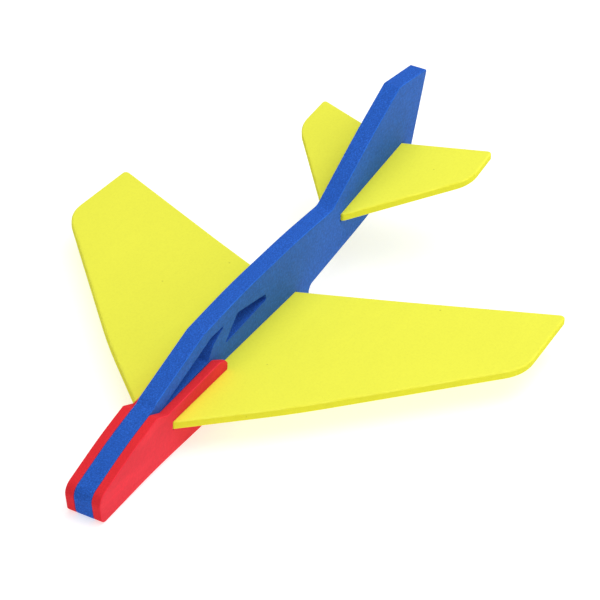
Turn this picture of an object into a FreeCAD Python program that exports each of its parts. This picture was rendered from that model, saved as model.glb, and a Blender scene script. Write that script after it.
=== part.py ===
import FreeCAD, Part
import math
import os

# A push-together foam glider, in millimetres.
# +X is forward (nose), +Y is port, +Z is up.
# Stations are measured from the trailing-edge apex of the wing (x) and from the
# wing's upper face (z); the finished parts are moved so that the origin is the
# middle of the bottom of the whole airplane.

BODY_SHEET = 10.0        # fuselage sheet thickness
WING_SHEET = 5.0         # wing and tailplane sheet thickness
CHEEK_SHEET = 5.0        # nose cheek sheet thickness
SLOT_PLAY = 0.1          # play above and below a plate in its slot
BODY_EDGE = 0.6          # softened edges of the fuselage and cheeks
WING_EDGE = 1.2          # softer edges of the wing and tailplane

HALF_BODY = BODY_SHEET / 2
CHEEK_FACE = HALF_BODY + CHEEK_SHEET

KEEL_LEVEL = -21.0       # flat underside below the wing
TAIL_TILT = 7.4          # degrees that the tailplane's nose is lower than the wing
TAIL_APEX = (-121.6, 32.9)

# Where the slots end, at the port face of what they go through. The front ends
# slant forward towards starboard, along the way out of the wing and tailplane:
# so many mm forward for each mm to starboard, as their trailing edges sweep.
WING_SLOT_AFT = 0.4
WING_SLOT_FRONT = 137.7
WING_WAY_OUT = 0.45
TAIL_SLOT_AFT = 0.4
TAIL_SLOT_FRONT = 75.4
TAIL_WAY_OUT = 0.335

# Outlines are corners (along, across, corner radius). A very large radius on a
# shallow corner makes a long, gently bowed edge.
NOSE_TOP = [(148.6, 12.4, 2.5), (174.0, 6.4, 200.0), (205.8, -4.4, 6.0)]
NOSE_FOOT = [(202.3, -20.9, 4.0), (154.0, -19.2, 500.0)]

FUSELAGE = [
    (-146.2, 68.3, 1.5),         # fin, top and aft
    (-111.5, 72.2, 2.5),         # fin, top and front
    (-77.0, 54.5, 500.0),        # fin leading edge
    (-37.5, 31.0, 9.0),          # root of the fin
    (0.0, 32.7, 600.0),          # spine
    (60.0, 32.2, 500.0),
    (100.5, 29.0, 10.0),         # top of the canopy
    (145.3, 14.4, 2.0),          # foot of the canopy
] + NOSE_TOP + NOSE_FOOT + [
    (106.0, KEEL_LEVEL, 400.0),
    (-19.5, KEEL_LEVEL, 4.0),    # heel of the keel
    (-12.8, -5.7, 4.0),          # finger notch
    (-74.0, 2.6, 300.0),         # belly
    (-130.6, 13.4, 3.0),         # stern
]

FRONT_WINDOW = [
    (79.4, 22.9, 0.5),
    (93.0, 22.9, 12.0),
    (141.5, 6.9, 0.8),
    (95.3, 9.3, 1.5),
    (90.5, 16.6, 6.0),
]

REAR_WINDOW = [
    (78.3, 10.6, 0.6),
    (66.2, 22.9, 3.5),
    (36.2, 17.6, 2.0),
    (35.0, 13.7, 1.2),
]

ARM_AND_STEP = [
    (83.2, -2.5, 1.0),           # arm, aft
    (82.8, 3.4, 1.8),
    (86.0, 6.7, 2.4),
    (92.4, 8.6, 5.0),
    (142.8, 7.1, 3.0),           # arm meets the step
    (152.6, 11.46, 1.6),
]

CHEEK_BODY_AFT = [
    (106.0, KEEL_LEVEL, 250.0),
    (97.5, KEEL_LEVEL, 3.0),
    (89.0, -WING_SHEET, 1.0),
]

# Half planforms, from the middle of the trailing edge round to the middle of
# the leading edge: (forward, outward, corner radius).
WING_HALF = [
    (1.1, 4.9, 1.8),             # trailing edge where it leaves the fuselage
    (-22.0, 58.5, 600.0),
    (-57.3, 137.4, 2.5),         # tip, aft
    (0.3, 139.0, 28.0),          # tip, front
    (94.0, 55.0, 450.0),         # leading edge
    (137.4, 10.0, 1.8),
]

TAIL_HALF = [
    (0.9, 4.9, 1.8),
    (-15.6, 53.4, 2.0),
    (13.5, 53.9, 25.0),
    (74.7, 6.2, 1.8),
]

# The free ends of the cheeks' arms are cut on the slant: (forward, outward).
ARM_END_CUT = [(60.0, 4.9), (91.8, 4.9), (83.6, 10.1), (60.0, 10.1)]


def rounded_wire(corners):
    """Closed wire through the corners, each rounded to its own radius."""
    count = len(corners)
    cuts = []
    for i, (a, b, radius) in enumerate(corners):
        here = FreeCAD.Vector(a, b, 0)
        before = FreeCAD.Vector(*corners[i - 1][:2], 0)
        after = FreeCAD.Vector(*corners[(i + 1) % count][:2], 0)
        back = (before - here).normalize()
        ahead = (after - here).normalize()
        half_angle = back.getAngle(ahead) / 2
        reach = radius / math.tan(half_angle)
        middle = (back + ahead).normalize()
        centre_gap = radius / math.sin(half_angle)
        start = here + back * reach
        end = here + ahead * reach
        top = here + middle * (centre_gap - radius)
        cuts.append((start, top, end))
    edges = []
    for i, (start, top, end) in enumerate(cuts):
        edges.append(Part.Arc(start, top, end).toShape())
        following = cuts[(i + 1) % count][0]
        if (following - end).Length > 1e-6:
            edges.append(Part.LineSegment(end, following).toShape())
    return Part.Wire(edges)


def plate(corners, thickness):
    """Flat plate on the XY plane, from z = 0 up."""
    face = Part.Face(rounded_wire(corners))
    return face.extrude(FreeCAD.Vector(0, 0, thickness))


def upright(solid, port_face):
    """Turn a flat plate so its outline stands in XZ and its top faces port."""
    solid.rotate(FreeCAD.Vector(0, 0, 0), FreeCAD.Vector(1, 0, 0), 90)
    solid.translate(FreeCAD.Vector(0, port_face, 0))
    return solid


def soften(solid, radius):
    """Round the outline edges of both faces of a plate."""
    rims = []
    for edge in solid.Edges:
        box = edge.BoundBox
        if box.ZLength < 1e-6:
            rims.append(edge)
    return solid.makeFillet(radius, rims)


def mirrored(half):
    other = [(a, -b, radius) for a, b, radius in reversed(half)]
    return half + other


def prism(plan, low, high):
    """Straight-sided prism on a plan of (x, y) points."""
    points = [FreeCAD.Vector(x, y, low) for x, y in plan]
    face = Part.Face(Part.makePolygon(points + points[:1]))
    return face.extrude(FreeCAD.Vector(0, 0, high - low))


def slot(aft, front, port_face, way_out):
    """What a plate's slot takes away, from the port face through to starboard."""
    reach = CHEEK_FACE + 1
    plan = [
        (aft, -reach),
        (aft, reach),
        (front + way_out * (port_face - reach), reach),
        (front + way_out * (port_face + reach), -reach),
    ]
    return prism(plan, -WING_SHEET - SLOT_PLAY, SLOT_PLAY)


def tilt_to_tail(solid):
    """Move a shape from the flat tail planform to the tail's place."""
    solid.rotate(FreeCAD.Vector(0, 0, 0), FreeCAD.Vector(0, 1, 0), TAIL_TILT)
    solid.translate(FreeCAD.Vector(TAIL_APEX[0], 0, TAIL_APEX[1]))
    return solid


def wing_slot():
    return slot(WING_SLOT_AFT, WING_SLOT_FRONT, CHEEK_FACE, WING_WAY_OUT)


def make_fuselage():
    body = soften(plate(FUSELAGE, BODY_SHEET), BODY_EDGE)
    for window in (FRONT_WINDOW, REAR_WINDOW):
        hole = plate(window, BODY_SHEET + 2)
        hole.translate(FreeCAD.Vector(0, 0, -1))
        body = body.cut(hole)
    body = upright(body, HALF_BODY)
    tail_slot = slot(TAIL_SLOT_AFT, TAIL_SLOT_FRONT, HALF_BODY, TAIL_WAY_OUT)
    return body.cut(wing_slot()).cut(tilt_to_tail(tail_slot))


def make_cheek(side):
    outline = ARM_AND_STEP + NOSE_TOP[1:] + NOSE_FOOT + CHEEK_BODY_AFT
    cheek = soften(plate(outline, CHEEK_SHEET), BODY_EDGE)
    port_face = CHEEK_FACE if side > 0 else -HALF_BODY
    cheek = upright(cheek, port_face)
    arm_end = prism([(x, side * y) for x, y in ARM_END_CUT], SLOT_PLAY, 12.0)
    return cheek.cut(wing_slot()).cut(arm_end)


def make_wing():
    wing = soften(plate(mirrored(WING_HALF), WING_SHEET), WING_EDGE)
    wing.translate(FreeCAD.Vector(0, 0, -WING_SHEET))
    return wing


def make_tailplane():
    tail = soften(plate(mirrored(TAIL_HALF), WING_SHEET), WING_EDGE)
    tail.translate(FreeCAD.Vector(0, 0, -WING_SHEET))
    return tilt_to_tail(tail)


parts = {
    "fuselage": make_fuselage(),
    "wing": make_wing(),
    "tailplane": make_tailplane(),
    "port_cheek": make_cheek(1),
    "starboard_cheek": make_cheek(-1),
}

whole = Part.makeCompound(list(parts.values()))
box = whole.optimalBoundingBox(False, False)
origin_shift = FreeCAD.Vector(-(box.XMin + box.XMax) / 2, 0, -box.ZMin)

os.makedirs("parts", exist_ok=True)
for name, shape in parts.items():
    shape.translate(origin_shift)
    shape.exportStep(f"parts/{name}.step")
    print(name, round(shape.Volume), shape.isValid(), len(shape.Solids))
print("origin shift", origin_shift, "size", box.XLength, box.YLength, box.ZLength)
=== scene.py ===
import math

import bpy
from mathutils import Matrix, Vector

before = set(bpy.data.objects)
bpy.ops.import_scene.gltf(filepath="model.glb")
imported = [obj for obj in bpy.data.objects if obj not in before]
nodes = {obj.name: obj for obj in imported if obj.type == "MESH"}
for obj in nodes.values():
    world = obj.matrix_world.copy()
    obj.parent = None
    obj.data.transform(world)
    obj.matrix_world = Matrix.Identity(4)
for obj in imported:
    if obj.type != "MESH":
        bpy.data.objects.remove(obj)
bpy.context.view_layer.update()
scene = bpy.context.scene

# Everything is in metres, in the CAD frame: +X to the nose, +Y to port, +Z up.
# The pieces keep their CAD shapes; this script gives them their foam and sets
# up the floor, lights and camera.

# Linear surface colours of the sheet, of its cut edges, and of its dust and pits.
BLUE_SKIN = (0.020, 0.120, 0.50)
BLUE_CUT = (0.022, 0.118, 0.56)
BLUE_SPECK = (0.01, 0.03, 0.16)
YELLOW_SKIN = (0.88, 0.88, 0.070)
YELLOW_CUT = (0.84, 0.82, 0.040)
YELLOW_SPECK = (0.42, 0.42, 0.03)
RED_SKIN = (0.84, 0.028, 0.048)
RED_CUT = (0.84, 0.028, 0.038)
RED_SPECK = (0.30, 0.015, 0.03)

# The axis that a sheet's two skins face.
SKINS_FACE_Y = 1
SKINS_FACE_Z = 2

# Sizes of the foam's texture, as noise scales per metre.
DRIFT_SCALE = 22.0
STREAK_SCALE = 70.0
STREAK_STRETCH = (0.2, 1.0, 1.0)
PORE_SCALE = 750.0
GRAIN_SCALE = 1350.0
PATCH_SCALE = 45.0
SPECK_SCALE = 42.0
# noise scale that breaks up the painted edge highlight
EDGE_HIGHLIGHT_SCALE = 90.0
WAVE_SCALE = 110.0

SKIN_ROUGHNESS = 0.62
CUT_ROUGHNESS = 0.85
SPECULAR = 0.10
SHEEN = 0.01
SHEEN_ROUGHNESS = 0.45
BUMP_DEPTH = 0.00035
BUMP_STRENGTH = 0.6

FLOOR_HALF = 4.0
FLOOR_COLOUR = (0.55, 0.55, 0.55, 1)
FLOOR_GLOW = 0.65
FLOOR_ROUGHNESS = 0.9
FLOOR_SPECULAR = 0.1
WORLD_LIGHT = 0.30
BACKDROP_LOOK = 0.85

# Soft lights: name, place, side of the square, power.
SOFTBOXES = [
    ("overhead", (-0.2, 0.25, 1.5), 1.8, 23.5),
    ("port_side", (-0.1, 1.6, 0.6), 1.2, 5.2),
]
LIGHT_TARGET = (0.0, 0.0, 0.03)

CAMERA_PLACE = (0.9868, 0.5118, 0.7633)
CAMERA_TARGET = (-0.0220, 0.0108, 0.0210)
CAMERA_ROLL = math.radians(3.6)
CAMERA_LENS = 152.55
CAMERA_SENSOR = 36.0


# ---------------------------------------------------------------- materials

class Nodes:
    """A short way to write a material's node tree."""

    def __init__(self, name):
        self.material = bpy.data.materials.new(name)
        self.material.use_nodes = True
        self.tree = self.material.node_tree
        self.tree.nodes.clear()
        output = self.tree.nodes.new("ShaderNodeOutputMaterial")
        self.shader = self.tree.nodes.new("ShaderNodeBsdfPrincipled")
        self.link(self.shader.outputs["BSDF"], output.inputs["Surface"])
        self.place = self.tree.nodes.new("ShaderNodeTexCoord")

    def link(self, source, target):
        self.tree.links.new(source, target)

    def math(self, operation, first, second=0.0):
        node = self.tree.nodes.new("ShaderNodeMath")
        node.operation = operation
        for socket, value in zip(node.inputs, (first, second)):
            if isinstance(value, (int, float)):
                socket.default_value = value
            else:
                self.link(value, socket)
        return node.outputs[0]

    def noise(self, scale, detail, roughness=0.5, stretch=(1, 1, 1)):
        mapping = self.tree.nodes.new("ShaderNodeMapping")
        mapping.inputs["Scale"].default_value = stretch
        self.link(self.place.outputs["Object"], mapping.inputs["Vector"])
        node = self.tree.nodes.new("ShaderNodeTexNoise")
        node.inputs["Scale"].default_value = scale
        node.inputs["Detail"].default_value = detail
        node.inputs["Roughness"].default_value = roughness
        self.link(mapping.outputs[0], node.inputs["Vector"])
        return node.outputs["Fac"]

    def cells(self, scale):
        node = self.tree.nodes.new("ShaderNodeTexVoronoi")
        node.inputs["Scale"].default_value = scale
        self.link(self.place.outputs["Object"], node.inputs["Vector"])
        return node.outputs["Distance"]

    def band(self, value, low, high, to_low=0.0, to_high=1.0):
        """value from low..high, mapped to to_low..to_high and held at the ends."""
        node = self.tree.nodes.new("ShaderNodeMapRange")
        node.inputs["From Min"].default_value = low
        node.inputs["From Max"].default_value = high
        node.inputs["To Min"].default_value = to_low
        node.inputs["To Max"].default_value = to_high
        self.link(value, node.inputs["Value"])
        return node.outputs[0]

    def mix(self, share, first, second):
        node = self.tree.nodes.new("ShaderNodeMix")
        node.data_type = "RGBA"
        self.link(share, node.inputs[0])
        for socket, value in ((node.inputs[6], first), (node.inputs[7], second)):
            if isinstance(value, tuple):
                socket.default_value = (*value, 1.0)
            else:
                self.link(value, socket)
        return node.outputs[2]

    def bump(self, height, depth, strength):
        node = self.tree.nodes.new("ShaderNodeBump")
        node.inputs["Distance"].default_value = depth
        node.inputs["Strength"].default_value = strength
        self.link(height, node.inputs["Height"])
        self.link(node.outputs[0], self.shader.inputs["Normal"])


def shade(colour, factor):
    return tuple(min(1.0, c * factor) for c in colour)


def foam(name, skin, cut, speck, sheet_axis, skin_drift, cut_grain, speck_amount):
    """EVA foam sheet: smooth skins on two sides, opened cells on the cut edges."""
    n = Nodes(name)
    split = n.tree.nodes.new("ShaderNodeSeparateXYZ")
    n.link(n.place.outputs["Normal"], split.inputs[0])
    facing = n.math("ABSOLUTE", split.outputs[sheet_axis])
    is_skin = n.band(facing, 0.80, 0.95)

    # the skin: slow drifts of shade, faint streaks from the sheet's making, pores
    drift = n.noise(DRIFT_SCALE, 4.0)
    is_dull = n.band(drift, 0.35, 0.65, 0.0, skin_drift)
    skin_colour = n.mix(is_dull, skin, shade(skin, 0.88))
    streaks = n.noise(STREAK_SCALE, 3.0, 0.6, STREAK_STRETCH)
    is_streak = n.band(streaks, 0.50, 0.72, 0.0, skin_drift)
    skin_colour = n.mix(is_streak, skin_colour, shade(skin, 1.12))
    pores = n.noise(PORE_SCALE, 3.0, 0.75)
    is_pit = n.band(pores, 0.50, 0.62, 0.0, 0.9 * cut_grain)
    skin_colour = n.mix(is_pit, skin_colour, shade(skin, 0.68))
    is_bright = n.band(pores, 0.36, 0.48, 0.8 * cut_grain, 0.0)
    skin_colour = n.mix(is_bright, skin_colour, shade(skin, 1.4))

    # the cut: opened cells, so it is speckled light and dark
    grain = n.noise(GRAIN_SCALE, 5.0, 0.75)
    is_hollow = n.band(grain, 0.40, 0.52, cut_grain, 0.0)
    cut_colour = n.mix(is_hollow, cut, shade(cut, 0.50))
    is_wall = n.band(grain, 0.53, 0.66, 0.0, cut_grain)
    cut_colour = n.mix(is_wall, cut_colour, shade(cut, 2.1))
    is_patch = n.band(n.noise(PATCH_SCALE, 2.0), 0.4, 0.7, 0.0, 0.35)
    cut_colour = n.mix(is_patch, cut_colour, shade(cut, 0.88))
    colour = n.mix(is_skin, cut_colour, skin_colour)

    # dust and pits
    is_speck = n.band(n.cells(SPECK_SCALE), 0.030, 0.018, 0.0, speck_amount)
    colour = n.mix(is_speck, colour, speck)

    # painted highlight: slightly paler corners between skin and cut, where the rounded
    # edges catch the light, broken into noisy patches
    edge = n.math("MULTIPLY", n.band(facing, 0.15, 0.55), n.band(facing, 0.97, 0.80))
    highlight_breakup = n.band(n.noise(EDGE_HIGHLIGHT_SCALE, 3.0), 0.30, 0.60, 0.15, 0.60)
    colour = n.mix(n.math("MULTIPLY", edge, highlight_breakup), colour, shade(skin, 1.7))
    n.link(colour, n.shader.inputs["Base Color"])

    base_roughness = n.band(is_skin, 0.0, 1.0, CUT_ROUGHNESS, SKIN_ROUGHNESS)
    roughness = n.math("ADD", base_roughness, n.band(drift, 0.0, 1.0, -0.05, 0.05))
    n.link(roughness, n.shader.inputs["Roughness"])
    n.shader.inputs["Specular IOR Level"].default_value = SPECULAR
    n.shader.inputs["Sheen Weight"].default_value = SHEEN
    n.shader.inputs["Sheen Roughness"].default_value = SHEEN_ROUGHNESS

    # the surface: opened cells on the cut, faint pores and waves on the skin
    opened = n.math("MULTIPLY", grain, n.band(is_skin, 0.0, 1.0, 0.6 + cut_grain, 0.10))
    skin_pores = n.math("MULTIPLY", pores, n.band(is_skin, 0.0, 1.0, 0.2, 0.30))
    waviness = n.math("MULTIPLY", n.noise(WAVE_SCALE, 2.0), 0.8)
    height = n.math("ADD", n.math("ADD", opened, skin_pores), waviness)
    n.bump(height, BUMP_DEPTH, BUMP_STRENGTH)
    return n.material


def paint(piece, material):
    piece.data.materials.clear()
    piece.data.materials.append(material)
    for polygon in piece.data.polygons:
        polygon.material_index = 0


blue_foam = foam("blue_foam", BLUE_SKIN, BLUE_CUT, BLUE_SPECK,
                 SKINS_FACE_Y, skin_drift=0.7, cut_grain=0.6, speck_amount=0.7)
yellow_foam = foam("yellow_foam", YELLOW_SKIN, YELLOW_CUT, YELLOW_SPECK,
                   SKINS_FACE_Z, skin_drift=0.12, cut_grain=0.10, speck_amount=0.45)
red_foam = foam("red_foam", RED_SKIN, RED_CUT, RED_SPECK,
                SKINS_FACE_Y, skin_drift=1.0, cut_grain=0.20, speck_amount=0.35)

finishes = {
    "fuselage": (blue_foam, "blue_foam"),
    "wing": (yellow_foam, "yellow_foam"),
    "tailplane": (yellow_foam, "yellow_foam"),
    "port_cheek": (red_foam, "red_foam"),
    "starboard_cheek": (red_foam, "red_foam"),
}
for name, (material, slot) in finishes.items():
    paint(nodes[name], material)


# ------------------------------------------------------------------- stage

def make_floor():
    mesh = bpy.data.meshes.new("floor")
    signs = [(-1, -1), (1, -1), (1, 1), (-1, 1)]
    corners = [(x * FLOOR_HALF, y * FLOOR_HALF, 0) for x, y in signs]
    mesh.from_pydata(corners, [], [(0, 1, 2, 3)])
    floor = bpy.data.objects.new("floor", mesh)
    scene.collection.objects.link(floor)
    n = Nodes("floor_paper")
    n.shader.inputs["Base Color"].default_value = FLOOR_COLOUR
    n.shader.inputs["Roughness"].default_value = FLOOR_ROUGHNESS
    n.shader.inputs["Specular IOR Level"].default_value = FLOOR_SPECULAR
    n.shader.inputs["Emission Color"].default_value = (1, 1, 1, 1)
    n.shader.inputs["Emission Strength"].default_value = FLOOR_GLOW
    mesh.materials.append(n.material)


def aim(thing, target, roll=0.0):
    """Turn a camera or light, from where it is, to look at target."""
    look = (Vector(target) - thing.location).to_track_quat("-Z", "Y").to_matrix().to_4x4()
    thing.rotation_euler = (look @ Matrix.Rotation(roll, 4, "Z")).to_euler()


def softbox(name, place, size, power):
    light = bpy.data.lights.new(name, "AREA")
    light.shape = "SQUARE"
    light.size = size
    light.energy = power
    lamp = bpy.data.objects.new(name, light)
    lamp.location = place
    scene.collection.objects.link(lamp)
    aim(lamp, LIGHT_TARGET)


def make_world():
    """A white studio: it lights the scene softly, and looks pale past the floor."""
    world = bpy.data.worlds.new("studio")
    world.use_nodes = True
    tree = world.node_tree
    backdrop = tree.nodes["Background"]
    backdrop.inputs["Color"].default_value = (1.0, 1.0, 1.0, 1.0)
    ray = tree.nodes.new("ShaderNodeLightPath")
    glow = tree.nodes.new("ShaderNodeMapRange")
    glow.inputs["To Min"].default_value = WORLD_LIGHT
    glow.inputs["To Max"].default_value = BACKDROP_LOOK
    tree.links.new(ray.outputs["Is Camera Ray"], glow.inputs["Value"])
    tree.links.new(glow.outputs[0], backdrop.inputs["Strength"])
    scene.world = world


def make_camera():
    lens = bpy.data.cameras.new("camera")
    lens.lens = CAMERA_LENS
    lens.sensor_width = CAMERA_SENSOR
    camera = bpy.data.objects.new("camera", lens)
    camera.location = CAMERA_PLACE
    scene.collection.objects.link(camera)
    aim(camera, CAMERA_TARGET, CAMERA_ROLL)
    scene.camera = camera


make_floor()
for box in SOFTBOXES:
    softbox(*box)
make_world()
scene.view_settings.view_transform = "Standard"
make_camera()
